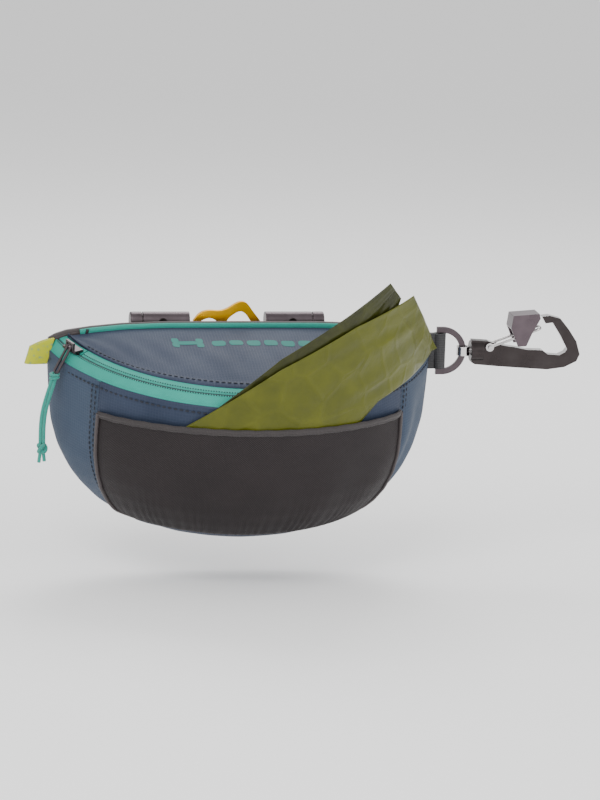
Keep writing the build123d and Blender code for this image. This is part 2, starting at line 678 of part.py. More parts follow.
with BuildPart() as belt_jaw:
    with BuildSketch(Plane(origin=(-lever_half + 1, 0, 0), x_dir=(0, 1, 0), z_dir=(1, 0, 0))):
        with BuildLine():
            Polyline((rod_depth + 1.5, rod_z - 2.7), (rod_depth + 3.6, rod_z - 12),
                     (rod_depth + 2.4, rod_z - 34),
                     (jaw_tip, rod_z - jaw_length + 3), (jaw_tip + 2.0, rod_z - jaw_length),
                     (rod_depth + 3.6, rod_z - 35.4), (rod_depth + 5.0, rod_z - 12),
                     (rod_depth + 3.0, rod_z - 1.0), close=True)
        make_face()
    extrude(amount=2 * lever_half - 2)
jaw_piece = belt_jaw.part - belt_lever.part
save_clip(jaw_piece.solids().sort_by(SortBy.VOLUME)[-1], "belt_jaw")
spring_pieces = []
for side in (-1, 1):
    with BuildPart() as spring:
        with BuildSketch(Plane(origin=(side * (lever_half + 0.4), rod_depth, rod_z), x_dir=(0, 1, 0),
                               z_dir=(side, 0, 0))):
            Circle(3.2)
            Circle(rod_radius + 0.2, mode=Mode.SUBTRACT)
        extrude(amount=1.6)
    spring_pieces.append(spring.part)
save_clip(Part() + spring_pieces, "torsion_springs")
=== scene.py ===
import math
import bpy
import numpy as np
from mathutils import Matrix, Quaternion, Vector


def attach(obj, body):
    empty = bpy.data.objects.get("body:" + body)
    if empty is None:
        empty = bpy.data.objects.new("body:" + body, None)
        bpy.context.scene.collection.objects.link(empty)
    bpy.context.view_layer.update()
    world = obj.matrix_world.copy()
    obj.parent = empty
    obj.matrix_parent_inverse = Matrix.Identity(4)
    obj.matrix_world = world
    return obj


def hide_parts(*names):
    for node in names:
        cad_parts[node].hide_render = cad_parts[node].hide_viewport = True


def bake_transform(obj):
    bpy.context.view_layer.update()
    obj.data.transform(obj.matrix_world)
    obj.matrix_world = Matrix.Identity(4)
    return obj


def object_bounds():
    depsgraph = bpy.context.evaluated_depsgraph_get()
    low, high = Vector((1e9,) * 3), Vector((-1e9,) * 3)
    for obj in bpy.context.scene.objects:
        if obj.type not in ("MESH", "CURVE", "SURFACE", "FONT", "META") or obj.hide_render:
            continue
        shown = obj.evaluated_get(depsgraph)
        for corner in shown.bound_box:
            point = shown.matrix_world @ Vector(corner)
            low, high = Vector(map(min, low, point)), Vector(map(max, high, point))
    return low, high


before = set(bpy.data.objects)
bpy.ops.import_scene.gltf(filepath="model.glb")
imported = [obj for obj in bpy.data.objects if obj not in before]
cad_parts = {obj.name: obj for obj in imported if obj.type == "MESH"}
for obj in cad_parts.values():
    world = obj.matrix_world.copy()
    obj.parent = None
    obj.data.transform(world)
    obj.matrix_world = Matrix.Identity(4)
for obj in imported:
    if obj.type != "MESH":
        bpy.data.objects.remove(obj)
cadBox = [list(corner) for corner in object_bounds()]
mm = 0.001

# the circle that the zip follows: every fabric wall is turned about its tilted axis
pouch = {"axisY": 25.5202, "axisZ": 18.0621, "tilt": 12.6, "zipRadius": 103.789, "faceY": -1.6,
         "seamAngle": 49.0, "lidBack": -4.1, "wall": 1.1}
tiltSin = math.sin(math.radians(pouch["tilt"]))
tiltCos = math.cos(math.radians(pouch["tilt"]))
shellProfile = [(109.2, -4.2), (109.5, -12), (109.6, -22), (109.3, -42), (106.6, -56), (102.2, -67),
                (96.2, -77), (89.0, -86), (80.0, -93.3), (70.0, -98.8), (60.0, -102.4), (52.6, -104.6)]
lidProfile = [(0.0, 7.5), (20.0, 7.4), (50.0, 7.3), (70.0, 6.5), (86.0, 4.9), (98.4, 3.0)]
pocketProfile = [(112.9, -13.5), (113.3, -28), (112.9, -42), (110.4, -56), (106.0, -68), (100.0, -78),
                 (94.0, -85.0), (91.2, -87.0)]


# points from radius, height and angle (degrees from the middle) about the zip's axis, in metres
def aboutZip(radius, height, angle):
    turn = np.radians(angle)
    forward = radius * np.cos(turn)
    return np.stack([radius * np.sin(turn) + 0 * height,
                     pouch["axisY"] - tiltCos * forward - tiltSin * height,
                     pouch["axisZ"] - tiltSin * forward + tiltCos * height], axis=-1) * mm


# radius and height at shares of a profile's length, through its points on a smooth curve
def along(profile, share):
    points = np.array(profile, float)
    steps = np.concatenate([[0], np.cumsum(np.hypot(*np.diff(points, axis=0).T))])
    fine = np.linspace(0, steps[-1], 400)
    kernel = np.hanning(41) / np.hanning(41).sum()
    smooth = []
    for column in points.T:
        line = np.interp(fine, steps, column)
        padded = np.concatenate([2 * line[0] - line[20:0:-1], line, 2 * line[-1] - line[-2:-22:-1]])
        smooth.append(np.interp(np.asarray(share) * steps[-1], fine, np.convolve(padded, kernel, "valid")))
    return smooth


# angle at which a turned wall reaches the plane y, in degrees
def backAngle(radius, height, y):
    cosine = (pouch["axisY"] - y - tiltSin * height) / (tiltCos * radius)
    return np.degrees(np.arccos(np.clip(cosine, -1, 1)))


# distance run along a path at each of its points
def runAlong(path):
    return np.concatenate([[0], np.cumsum(np.linalg.norm(np.diff(path, axis=0), axis=1))])


# a smooth piece in the scene from its points and faces
def meshPiece(name, points, faces, material=None):
    mesh = bpy.data.meshes.new(name)
    mesh.from_pydata(points.reshape(-1, 3).tolist(), [], faces.reshape(-1, 4).tolist())
    mesh.polygons.foreach_set("use_smooth", np.ones(len(mesh.polygons), dtype=bool))
    if material:
        mesh.materials.append(material)
    piece = bpy.data.objects.new(name, mesh)
    bpy.context.scene.collection.objects.link(piece)
    return piece


# a mesh from a grid of points, rows by columns, with its own UV map in metres along the grid
def gridPiece(name, points, uv=None, closeU=False, closeV=False, material=None):
    rows, columns = points.shape[:2]
    index = np.arange(rows * columns).reshape(rows, columns)
    if closeU:
        index = np.vstack([index, index[:1]])
    if closeV:
        index = np.hstack([index, index[:, :1]])
    faces = np.stack([index[:-1, :-1], index[1:, :-1], index[1:, 1:], index[:-1, 1:]], axis=-1)
    piece = meshPiece(name, points, faces, material)
    if uv is None:
        uv = np.stack(np.meshgrid(runAlong(points[rows // 2]), runAlong(points[:, columns // 2])), axis=-1)
    flat = np.zeros((rows * columns, 2))
    flat[:] = uv.reshape(-1, 2)
    loops = np.empty(len(piece.data.loops), dtype=np.int32)
    piece.data.loops.foreach_get("vertex_index", loops)
    piece.data.uv_layers.new(name="cloth").data.foreach_set("uv", flat[loops].ravel())
    piece.data.update()
    return piece


# a wall of even thickness: under the surface at offset -1, centred on it at 0
def thicken(piece, thickness, offset=-1.0):
    solid = piece.modifiers.new("wall", "SOLIDIFY")
    solid.thickness = thickness * mm
    solid.offset = offset
    return piece


# a section carried along a path: an ellipse, or a rounded bar when power is under 1
def tubeAlong(name, path, width, height=None, sides=16, up=(0, 0, 1), material=None, closed=False,
              power=1.0):
    path = np.asarray(path, float)
    height = width if height is None else height
    ahead = np.roll(path, -1, axis=0) if closed else np.vstack([path[1:], 2 * path[-1:] - path[-2:-1]])
    behind = np.roll(path, 1, axis=0) if closed else np.vstack([2 * path[:1] - path[1:2], path[:-1]])
    tangent = ahead - behind
    tangent /= np.linalg.norm(tangent, axis=1, keepdims=True)
    side = np.cross(tangent, np.asarray(up, float))
    side /= np.linalg.norm(side, axis=1, keepdims=True)
    lift = np.cross(side, tangent)
    turn = np.linspace(0, 2 * np.pi, sides, endpoint=False)
    cosine = np.sign(np.cos(turn)) * np.abs(np.cos(turn)) ** power
    sine = np.sign(np.sin(turn)) * np.abs(np.sin(turn)) ** power
    points = (path[:, None] + side[:, None] * (cosine * width / 2)[None, :, None]
              + lift[:, None] * (sine * height / 2)[None, :, None])
    length = runAlong(path)
    around = turn / (2 * np.pi) * (width + height) * 1.5
    uv = np.stack(np.broadcast_arrays(around[None, :], length[:, None]), axis=-1)
    if not closed:
        first, last = np.repeat(path[:1, None], sides, 1), np.repeat(path[-1:, None], sides, 1)
        points = np.concatenate([first, points, last])
        uv = np.concatenate([uv[:1], uv, uv[-1:]])
    return gridPiece(name, points, uv=uv, closeU=closed, closeV=True, material=material)


# several meshes as one piece
def joined(name, parts):
    for part in bpy.context.selected_objects:
        part.select_set(False)
    for part in parts:
        part.select_set(True)
    bpy.context.view_layer.objects.active = parts[0]
    bpy.ops.object.join()
    parts[0].name = name
    return parts[0]


# a row of thread: short flattened beads laid along a path, each lifted a little on the surface normal
def stitches(name, path, normal, length=2.4, gap=1.0, width=0.55, material=None):
    path = np.asarray(path, float)
    normal = np.asarray(normal, float)
    run = runAlong(path)
    count = max(2, int(run[-1] / ((length + gap) * mm)))
    middle = (np.arange(count) + 0.5) * run[-1] / count
    place = np.stack([np.interp(middle, run, path[:, k]) for k in range(3)], axis=-1)
    step = np.stack([np.interp(middle + 0.4 * mm, run, path[:, k]) for k in range(3)], axis=-1) - place
    step[-1] = step[-2] if np.linalg.norm(step[-1]) < 1e-9 else step[-1]
    step /= np.linalg.norm(step, axis=1, keepdims=True) + 1e-12
    lift = np.stack([np.interp(middle, run, normal[:, k]) for k in range(3)], axis=-1)
    lift /= np.linalg.norm(lift, axis=1, keepdims=True)
    side = np.cross(step, lift)
    share = np.array([-1.0, -0.8, 0.0, 0.8, 1.0])
    swell = np.array([0.02, 0.75, 1.0, 0.75, 0.02])[:, None]
    turn = np.linspace(0, 2 * np.pi, 6, endpoint=False)
    wide = (swell * np.cos(turn) * width / 2 * mm)[None, :, :, None]
    tall = (swell * (np.sin(turn) * 0.6 + 0.25) * width / 2 * mm)[None, :, :, None]
    ring = (place[:, None, None] + step[:, None, None] * (share * length / 2 * mm)[None, :, None, None]
            + side[:, None, None] * wide + lift[:, None, None] * tall)
    base = np.arange(count)[:, None, None] * 30 + (np.arange(4)[None, :, None] * 6)
    first = base + np.arange(6)[None, None, :]
    second = base + (np.arange(6)[None, None, :] + 1) % 6
    return meshPiece(name, ring, np.stack([first, first + 6, second + 6, second], axis=-1), material)


# a socket with arithmetic: each operation adds one Math node
class Wire:
    def __init__(self, tree, socket):
        self.tree = tree
        self.socket = socket

    def math(self, operation, *others):
        node = self.tree.nodes.new("ShaderNodeMath")
        node.operation = operation
        for place, value in enumerate((self, *others)):
            if isinstance(value, Wire):
                self.tree.links.new(value.socket, node.inputs[place])
            else:
                node.inputs[place].default_value = value
        return Wire(self.tree, node.outputs[0])

    def __add__(self, other): return self.math("ADD", other)
    __radd__ = __add__

    def __mul__(self, other): return self.math("MULTIPLY", other)
    __rmul__ = __mul__

    def __sub__(self, other): return self.math("SUBTRACT", other)

    def __rsub__(self, other): return (self * -1.0) + other

    def __pow__(self, other): return self.math("POWER", other)

    def clamped(self): return self.math("MINIMUM", 1.0).math("MAXIMUM", 0.0)


# a material under construction
class Finish:
    def __init__(self, name, colour, roughness, metallic=0.0, **constants):
        self.material = bpy.data.materials.new(name)
        self.material.use_nodes = True
        self.tree = self.material.node_tree
        self.shader = self.tree.nodes["Principled BSDF"]
        self.shader.inputs["Base Color"].default_value = (*colour, 1)
        self.shader.inputs["Roughness"].default_value = roughness
        self.shader.inputs["Metallic"].default_value = metallic
        for socket, value in constants.items():
            self.shader.inputs[socket.replace("_", " ")].default_value = value
        self.material.diffuse_color = (*colour, 1)

    def node(self, kind, output=0, settings=None, **inputs):
        made = self.tree.nodes.new(kind)
        for key, value in (settings or {}).items():
            setattr(made, key, value)
        for key, value in inputs.items():
            socket = made.inputs[int(key[4:]) if key.startswith("slot") else key.replace("_", " ")]
            if isinstance(value, Wire):
                self.tree.links.new(value.socket, socket)
            else:
                socket.default_value = value
        return Wire(self.tree, made.outputs[output])

    def place(self, source="Object"):
        return self.node("ShaderNodeTexCoord", output=source)

    def split(self, vector):
        made = self.tree.nodes.new("ShaderNodeSeparateXYZ")
        self.tree.links.new(vector.socket, made.inputs[0])
        return [Wire(self.tree, made.outputs[k]) for k in range(3)]

    def mix(self, factor, first, second):
        made = self.tree.nodes.new("ShaderNodeMix")
        made.data_type = "RGBA"
        for socket, value in ((made.inputs[0], factor), (made.inputs[6], first), (made.inputs[7], second)):
            if isinstance(value, Wire):
                self.tree.links.new(value.socket, socket)
            else:
                socket.default_value = (*value, 1) if hasattr(value, "__len__") else value
        return Wire(self.tree, made.outputs[2])

    def feed(self, socket, value):
        self.tree.links.new(value.socket, self.shader.inputs[socket])

    def bump(self, height, strength, distance):
        self.feed("Normal", self.node("ShaderNodeBump", Height=height, Strength=strength, Distance=distance))

    def noise(self, vector, scale, detail=3.0, roughness=0.5):
        return self.node("ShaderNodeTexNoise", Vector=vector, Scale=scale, Detail=detail,
                         Roughness=roughness)


# plain weave with a raised grid every few threads and soft dye variation
def ripstop(name, colour, light):
    cloth = Finish(name, colour, 0.62, Specular_IOR_Level=0.25)
    u, v, _ = cloth.split(cloth.place("UV"))
    across = (u * 9000.0).math("SINE")
    down = (v * 9000.0).math("SINE")
    weave = across * down
    gridU = (u * 1900.0).math("SINE").math("ABSOLUTE") ** 18.0
    gridV = (v * 1900.0).math("SINE").math("ABSOLUTE") ** 18.0
    grid = gridU.math("MAXIMUM", gridV)
    cloud = cloth.noise(cloth.place(), 38.0, 4.0)
    fine = cloth.noise(cloth.place(), 900.0, 2.0)
    mask = (cloud * 0.7 + grid * 0.12 + weave * 0.10 + fine * 0.3 - 0.25).clamped()
    cloth.feed("Base Color", cloth.mix(mask, colour, light))
    cloth.feed("Roughness", 0.72 - grid * 0.12 - cloud * 0.12)
    cloth.bump(weave * 0.3 + grid * 0.4 + cloud * 0.8, 0.3, 0.0003)
    return cloth.material


# stretch mesh: raised dots in diagonal rows, with painted shade for the holes between them, on the piece's
# own UV
def perforated(name, colour, holeShade):
    cloth = Finish(name, colour, 0.7, Specular_IOR_Level=0.25)
    u, v, _ = cloth.split(cloth.place("UV"))
    pitch = 1.35 * mm
    first = ((u + v) * (math.pi / pitch)).math("SINE")
    second = ((u - v) * (math.pi / pitch)).math("SINE")
    dots = (first * second).math("ABSOLUTE") ** 1.6
    cloud = cloth.noise(cloth.place(), 45.0, 3.0)
    thread = (v * 14000.0).math("SINE") * 0.5 + 0.5
    cloth.feed("Base Color", cloth.mix((dots * 0.85 + cloud * 0.25 - 0.1).clamped(), holeShade, colour))
    cloth.bump(dots + thread * 0.2 + cloud, 0.5, 0.0003)
    return cloth.material


# woven tape: fine ribs across and a diagonal slant, with painted shade in the valleys and soft random tone
def tape(name, colour, dark, pitch=0.9, cross=True, sheen=0.3):
    cloth = Finish(name, colour, 0.6, Sheen_Weight=sheen, Sheen_Roughness=0.4)
    u, v, _ = cloth.split(cloth.place("UV"))
    turn = 2 * math.pi / (pitch * mm)
    slant = ((u * turn) + (v * turn * (1.0 if cross else 0.0))).math("SINE") * 0.5 + 0.5
    rib = (v * turn * 1.7).math("SINE") * 0.5 + 0.5
    cloud = cloth.noise(cloth.place(), 160.0, 3.0)
    mask = (slant * 0.45 + rib * 0.3 + cloud * 0.35).math("MINIMUM", 1.0)
    # dark where the ribs and slant sink: painted shade in the valleys, plus random tone from the noise
    cloth.feed("Base Color", cloth.mix(mask, dark, colour))
    cloth.bump(slant * 0.6 + rib * 0.5 + cloud * 0.5, 0.55, 0.0003)
    return cloth.material


# round braid: two sets of strands that cross, with painted shade in the grooves between them and coloured
# flecks where the cord has them
def braid(name, colour, dark, fleck=None, pitch=2.2):
    cord = Finish(name, colour, 0.65, Sheen_Weight=0.3, Sheen_Roughness=0.4)
    u, v, _ = cord.split(cord.place("UV"))
    turn = 2 * math.pi / (pitch * mm)
    crossed = (u * turn + v * turn).math("SINE") * (u * turn - v * turn).math("SINE")
    strands = crossed.math("ABSOLUTE") ** 0.6
    fine = cord.noise(cord.place(), 1500.0, 2.0)
    # dark where the strands sink between each other: painted shade in the grooves, plus a little random tone
    shade = cord.mix((strands * 0.8 + fine * 0.35).math("MINIMUM", 1.0), dark, colour)
    if fleck:
        spots = cord.node("ShaderNodeTexVoronoi", output="Distance", Vector=cord.place(), Scale=420.0)
        shade = cord.mix((1.0 - spots * 3.2).math("MAXIMUM", 0.0) ** 0.5 * 0.85, shade, fleck)
    cord.feed("Base Color", shade)
    cord.bump(strands + fine * 0.4, 0.7, 0.0004)
    return cord.material


# plated or anodised metal: rounded edges that catch light, fine scratches and cloudy gloss
def plated(name, colour, roughness, wear, edge=0.35, brushed=0.0):
    metal = Finish(name, colour, roughness, 1.0)
    rounded = metal.node("ShaderNodeBevel", settings={"samples": 6}, Radius=edge * mm)
    cloud = metal.noise(metal.place(), 120.0, 4.0)
    scratch = metal.noise(metal.node("ShaderNodeVectorMath", settings={"operation": "MULTIPLY"},
                                     slot0=metal.place(), slot1=(300.0, 2500.0, 2500.0)), 1.0, 2.0)
    metal.feed("Roughness", roughness + (cloud - 0.5) * 0.25 + (scratch - 0.5) * brushed)
    metal.feed("Base Color", metal.mix((cloud * 1.4 - 0.35).clamped(), colour, wear))
    metal.feed("Normal", metal.node("ShaderNodeBump", Height=scratch + cloud, Strength=0.06, Distance=0.0002,
                                    Normal=rounded))
    return metal.material


# thin crinkled plastic film: glossy creases and lighter stretched bands
def film(name, colour, light):
    sheet = Finish(name, colour, 0.34, Specular_IOR_Level=0.3)
    cloud = sheet.noise(sheet.place(), 70.0, 5.0, 0.6)
    crease = sheet.node("ShaderNodeTexVoronoi", output="Distance", settings={"feature": "DISTANCE_TO_EDGE"},
                        Vector=sheet.place(), Scale=55.0)
    line = (1.0 - crease * 9.0).math("MAXIMUM", 0.0)
    sheet.feed("Base Color", sheet.mix((cloud * 1.3 - 0.3 + line * 0.15).clamped(), colour, light))
    sheet.feed("Roughness", 0.26 + cloud * 0.25)
    sheet.feed("Alpha", 1.0 - cloud * 0.05)
    sheet.bump(cloud + line * 0.35, 0.55, 0.0012)
    return sheet.material


print("materials")
fabricBlue = ripstop("pouchFabric", (0.018, 0.027, 0.052), (0.040, 0.055, 0.092))
fabricGusset = ripstop("gussetFabric", (0.026, 0.042, 0.072), (0.056, 0.080, 0.122))
# the mesh's second colour is painted shade standing in for the holes through it
pocketMesh = perforated("pocketMesh", (0.042, 0.033, 0.033), (0.008, 0.006, 0.007))
# the darker second colour of each tape and cord is painted shade for the grooves between its ribs or strands
hemTape = tape("hemElastic", (0.036, 0.028, 0.028), (0.009, 0.007, 0.008), 0.8, False, 0.05)
bindingTape = tape("bindingTape", (0.070, 0.055, 0.055), (0.022, 0.018, 0.020), 0.7, False, 0.05)
tealTape = tape("tealTape", (0.012, 0.360, 0.270), (0.004, 0.190, 0.155), 0.8, True, 0.05)
coilNylon = Finish("coilNylon", (0.006, 0.035, 0.040), 0.4).material
tealThread = Finish("tealThread", (0.015, 0.330, 0.260), 0.6).material
darkThread = Finish("darkThread", (0.006, 0.009, 0.018), 0.7).material
blackThread = Finish("blackThread", (0.012, 0.012, 0.014), 0.7).material
tealCord = braid("tealCord", (0.015, 0.380, 0.290), (0.004, 0.150, 0.125), None, 1.3)
limeBraid = braid("limeBraid", (0.620, 0.640, 0.002), (0.250, 0.290, 0.003), (0.030, 0.240, 0.230), 2.0)
blackWeb = tape("blackWebbing", (0.028, 0.027, 0.030), (0.006, 0.006, 0.007), 1.3, False, 0.15)
gunmetal = plated("gunmetal", (0.072, 0.058, 0.064), 0.36, (0.110, 0.092, 0.100), 0.4, 0.1)
goldPlate = plated("goldAnodised", (0.980, 0.500, 0.008), 0.34, (1.000, 0.580, 0.014), 0.3, 0.12)
darkFace = plated("darkClip", (0.036, 0.030, 0.030), 0.30, (0.060, 0.052, 0.052), 0.55, 0.05)
polished = plated("polishedEdge", (0.560, 0.540, 0.540), 0.12, (0.700, 0.690, 0.690), 0.3, 0.03)
mauvePlate = plated("mauvePlate", (0.090, 0.070, 0.080), 0.30, (0.140, 0.112, 0.125), 0.5, 0.05)
springWire = plated("springWire", (0.480, 0.460, 0.460), 0.2, (0.640, 0.620, 0.620), 0.2, 0.05)
bagFilm = film("bagFilm", (0.052, 0.058, 0.001), (0.105, 0.112, 0.003))
# the rear bag is the same film as the front one, its two colours darkened as painted shade for the leaf
# lying behind
bagFilmShadedRear = film("bagFilmShadedRear", (0.010, 0.011, 0.001), (0.045, 0.050, 0.003))
markInk = Finish("markInk", (0.006, 0.150, 0.125), 0.6, Specular_IOR_Level=0.2).material

print("camera and light")
view = {"azimuth": -10.5, "elevation": 12.0, "distance": 2.6, "width": 0.327, "roll": 2.0,
        "across": 34.1, "up": -20.4}
azimuth = math.radians(view["azimuth"])
elevation = math.radians(view["elevation"])
away = Vector((math.sin(azimuth) * math.cos(elevation), -math.cos(azimuth) * math.cos(elevation),
               math.sin(elevation)))
rightward = Vector((math.cos(azimuth), math.sin(azimuth), 0))
upward = rightward.cross(away) * -1
target = rightward * view["across"] * mm + upward * view["up"] * mm
cameraData = bpy.data.cameras.new("camera")
cameraData.sensor_fit = "HORIZONTAL"
cameraData.sensor_width = 36
cameraData.lens = 36 * view["distance"] / view["width"]
cameraData.clip_start = 0.05
camera = bpy.data.objects.new("camera", cameraData)
camera.location = target + away * view["distance"]
roll = Quaternion((0, 0, 1), math.radians(view["roll"]))
camera.rotation_euler = (away.to_track_quat("Z", "Y") @ roll).to_euler()
bpy.context.scene.collection.objects.link(camera)
bpy.context.scene.camera = camera

world = bpy.data.worlds.new("studio")
world.use_nodes = True
world.node_tree.nodes["Background"].inputs[0].default_value = (1, 1, 1, 1)
world.node_tree.nodes["Background"].inputs[1].default_value = 1.0
bpy.context.scene.world = world
lightPlaces = [("key", (-0.5, -0.9, 0.9), 0.7, 11), ("fill", (0.8, -0.8, 0.35), 0.8, 5),
               ("rim", (0.2, 0.7, 0.8), 0.6, 7)]
for name, spot, size, power in lightPlaces:
    lamp = bpy.data.lights.new(name, "AREA")
    lamp.size = size
    lamp.energy = power
    holder = bpy.data.objects.new(name, lamp)
    holder.location = spot
    holder.rotation_euler = Vector(spot).to_track_quat("Z", "Y").to_euler()
    bpy.context.scene.collection.objects.link(holder)
floorFinish = Finish("paleFloor", (0.95, 0.95, 0.95), 0.9)
floorMesh = bpy.data.meshes.new("floor")
floorZ = cadBox[0][2] - 0.02
floorMesh.from_pydata([(x, y, floorZ) for x, y in ((-4, -4), (4, -4), (4, 4), (-4, 4))], [], [(0, 1, 2, 3)])
floorMesh.materials.append(floorFinish.material)
floor = bpy.data.objects.new("floor", floorMesh)
bpy.context.scene.collection.objects.link(floor)

print("pouch walls")

# shallow folds: a few slanted waves that fade in and out over the surface
def wrinkles(angle, share, seed, strength):
    parts = np.random.default_rng(seed)
    total = np.zeros(np.broadcast(angle, share).shape)
    for k in range(7):
        slope = parts.uniform(-14, 14)
        pace = parts.uniform(0.12, 0.4)
        fade = np.exp(-((angle - parts.uniform(-70, 70)) / parts.uniform(14, 34)) ** 2)
        total += fade * np.sin(angle * pace + share * slope + parts.uniform(0, 6.3))
    return total * strength


# a turned wall between two angles; where an end is None it runs to the back panel
def wallPiece(name, first, last, seed, material, strength):
    share = np.linspace(0, 1, 120)[:, None]
    radius, height = along(shellProfile, share[:, 0])
    radius, height = radius[:, None], height[:, None]
    back = backAngle(radius, height, pouch["faceY"] + 0.2)
    low = -back if first is None else np.minimum(np.maximum(-back, first), back)
    high = back if last is None else np.maximum(np.minimum(back, last), -back)
    across = np.linspace(0, 1, 130)[None, :]
    angle = low + (high - low) * across
    edge = np.minimum(across, 1 - across) * (high - low)
    hold = 1 - np.exp(-edge / 3.0)
    seamDip = -0.5 * np.exp(-(edge / 1.6) ** 2)
    fold = wrinkles(angle, share, seed, strength) * hold * (0.25 + 0.75 * np.sin(np.pi * share) ** 0.5)
    points = aboutZip(radius + fold + seamDip + 0.45, height + 0 * angle, angle)
    uv = np.stack(np.broadcast_arrays(np.radians(angle) * 109 * mm, share * 125 * mm), axis=-1)
    piece = gridPiece(name, points, uv=uv, material=material)
    return thicken(piece, pouch["wall"])


seam = pouch["seamAngle"]
frontPiece = wallPiece("frontPanel", -seam, seam, 3, fabricBlue, 0.4)
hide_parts("front_panel")
leftPiece = wallPiece("gussetLeft", None, -seam, 11, fabricGusset, 1.1)
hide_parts("side_gusset_left")
rightPiece = wallPiece("gussetRight", seam, None, 12, fabricGusset, 1.1)
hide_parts("side_gusset_right")
wallPieces = [frontPiece, leftPiece, rightPiece]

# double seams beside the front panel's edges, and one row along the top of the wall
seamPieces = []
for name, sign in (("seamLeft", -1), ("seamRight", 1)):
    for row, angle in enumerate((seam + 0.9, seam + 2.3)):
        share = np.linspace(0.02, 0.80, 160)
        radius, height = along(shellProfile, share)
        fits = backAngle(radius, height, pouch["faceY"]) > angle + 1
        path = aboutZip(radius + 0.45, height, np.full_like(radius, sign * angle))[fits]
        outward = aboutZip(radius + 5, height, np.full_like(radius, sign * angle))[fits] - path
        seamPieces.append(stitches(f"{name}{row}", path, outward, 2.2, 0.9, 0.9, darkThread))
topAngle = np.linspace(-72, 72, 400)
topPath = aboutZip(np.full_like(topAngle, 110.0), np.full_like(topAngle, -8.0), topAngle)
topOut = aboutZip(np.full_like(topAngle, 115.0), np.full_like(topAngle, -6.4), topAngle) - topPath
seamPieces.append(stitches("wallTopStitch", topPath, topOut, 2.2, 1.0, 0.95, darkThread))
wallStitching = joined("wallStitching", seamPieces)
wallPieces.append(wallStitching)

# back panel: flat, with the outline that the turned walls leave on the rear plane
share = np.linspace(0, 1, 150)
outlineRadius, outlineHeight = along(shellProfile, share)
outlineAngle = backAngle(outlineRadius, outlineHeight, pouch["faceY"])
outline = aboutZip(outlineRadius, outlineHeight, outlineAngle)


rimProfile = lidProfile + [(103.8, 1.2), (108.8, -1.6)]


# height of the lid's profile where it meets the plane y, for each x in millimetres
def topEdge(x, y, lift):
    radius = np.hypot(x, 28.0)
    points = np.array(rimProfile)
    for step in range(6):
        height = np.interp(radius, points[:, 0], points[:, 1]) + lift
        forward = (pouch["axisY"] - y - tiltSin * height) / tiltCos
        radius = np.hypot(x, forward)
    return pouch["axisZ"] - tiltSin * forward + tiltCos * height


columns = np.linspace(-1, 1, 140)[None, :]
shoulder = np.linspace(96.0, outline[0, 0] / mm, 12, endpoint=False)
halfWidth = np.concatenate([shoulder, outline[:, 0] / mm])[:, None]
topLine = topEdge(columns[0] * 96.0, pouch["faceY"], 0.6)[None, :]
sideZ = np.concatenate([np.full(12, np.nan), outline[:, 2] / mm])[:, None]
rise = np.linspace(1, 0, 12, endpoint=False)[:, None]
z = np.empty((162, 140))
z[:12] = topLine * rise + sideZ[12] * (1 - rise)
z[12:] = sideZ[12:]
backPoints = np.stack([halfWidth * columns, np.full_like(z, -0.05), z], axis=-1) * mm
backPiece = gridPiece("backPanel", backPoints[:, ::-1], material=fabricBlue)
thicken(backPiece, 1.5, -1.0)
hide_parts("back_panel")
wallPieces.append(backPiece)

print("lid and zip")
lid = {"edge": 98.6, "wall": 1.2}


# the lid's dome over x (millimetres) and share from rear edge (0) to front edge (1)
def lidSurface(x, share, lift=0.0):
    points = np.array(lidProfile)
    radius = np.hypot(x, 30.0)
    for step in range(6):
        height = np.interp(radius, points[:, 0], points[:, 1])
        rear = (pouch["axisY"] - pouch["lidBack"] - tiltSin * height) / tiltCos
        radius = np.hypot(x, rear)
    front = np.sqrt(np.maximum(lid["edge"] ** 2 - x ** 2, 0.01))
    front = np.maximum(front, rear)
    forward = rear + (front - rear) * share
    radius = np.hypot(x, forward)
    fine = np.linspace(0, 100, 300)
    curve = np.interp(fine, points[:, 0], points[:, 1])
    kernel = np.hanning(45) / np.hanning(45).sum()
    curve = np.convolve(np.pad(curve, 22, "reflect", reflect_type="odd"), kernel, "valid")
    height = np.interp(radius, fine, curve) + lift
    return np.stack([x + 0 * height, pouch["axisY"] - tiltCos * forward - tiltSin * height,
                     pouch["axisZ"] - tiltSin * forward + tiltCos * height], axis=-1) * mm


lidX = (94.6 * np.sin(np.linspace(-np.pi / 2, np.pi / 2, 190)))[None, :]
lidShare = np.linspace(0, 1, 90)[:, None]


# the lid's own relief: a broad sag, two slow waves, and the rounded turned edge over the zip
def lidLift(x, share):
    sag = (-0.7 * np.exp(-((x - 30) / 40) ** 2) * np.sin(np.pi * share)
           + 0.55 * np.sin(x * 0.09 + share * 4) * np.sin(np.pi * share)
           + 0.30 * np.sin(x * 0.31 - share * 9) * np.sin(np.pi * share) ** 2)
    fold = 0.45 * np.exp(-((share - 0.955) / 0.03) ** 2) - 0.5 * np.maximum(share - 0.985, 0) / 0.015
    return 0.05 + sag + fold


lidPoints = lidSurface(lidX, lidShare, lidLift(lidX, lidShare))
lidPiece = gridPiece("lidPanel", lidPoints, material=fabricBlue)
thicken(lidPiece, lid["wall"], -1.0)
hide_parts("lid_panel", "lid_corner_left", "lid_corner_right")


# points of a circle about the zip's axis, with directions that lean out of the cloth there
def circlePath(radius, height, low, high, count=500):
    angle = np.linspace(low, high, count)
    path = aboutZip(np.full_like(angle, radius), np.full_like(angle, height), angle)
    return path, aboutZip(np.full_like(angle, radius + 2), np.full_like(angle, height + 5), angle) - path


stitchX = np.linspace(-86, 86, 500)
stitchShare = 1 - 3.6 / (np.sqrt(lid["edge"] ** 2 - stitchX ** 2) - 31.0)
stitchPath = lidSurface(stitchX, stitchShare, lidLift(stitchX, stitchShare) + 0.12)
stitchOut = np.tile([0.0, -0.22, 0.97], (500, 1))
lidStitch = stitches("lidStitch", stitchPath, stitchOut, 2.2, 1.0, 0.95, darkThread)


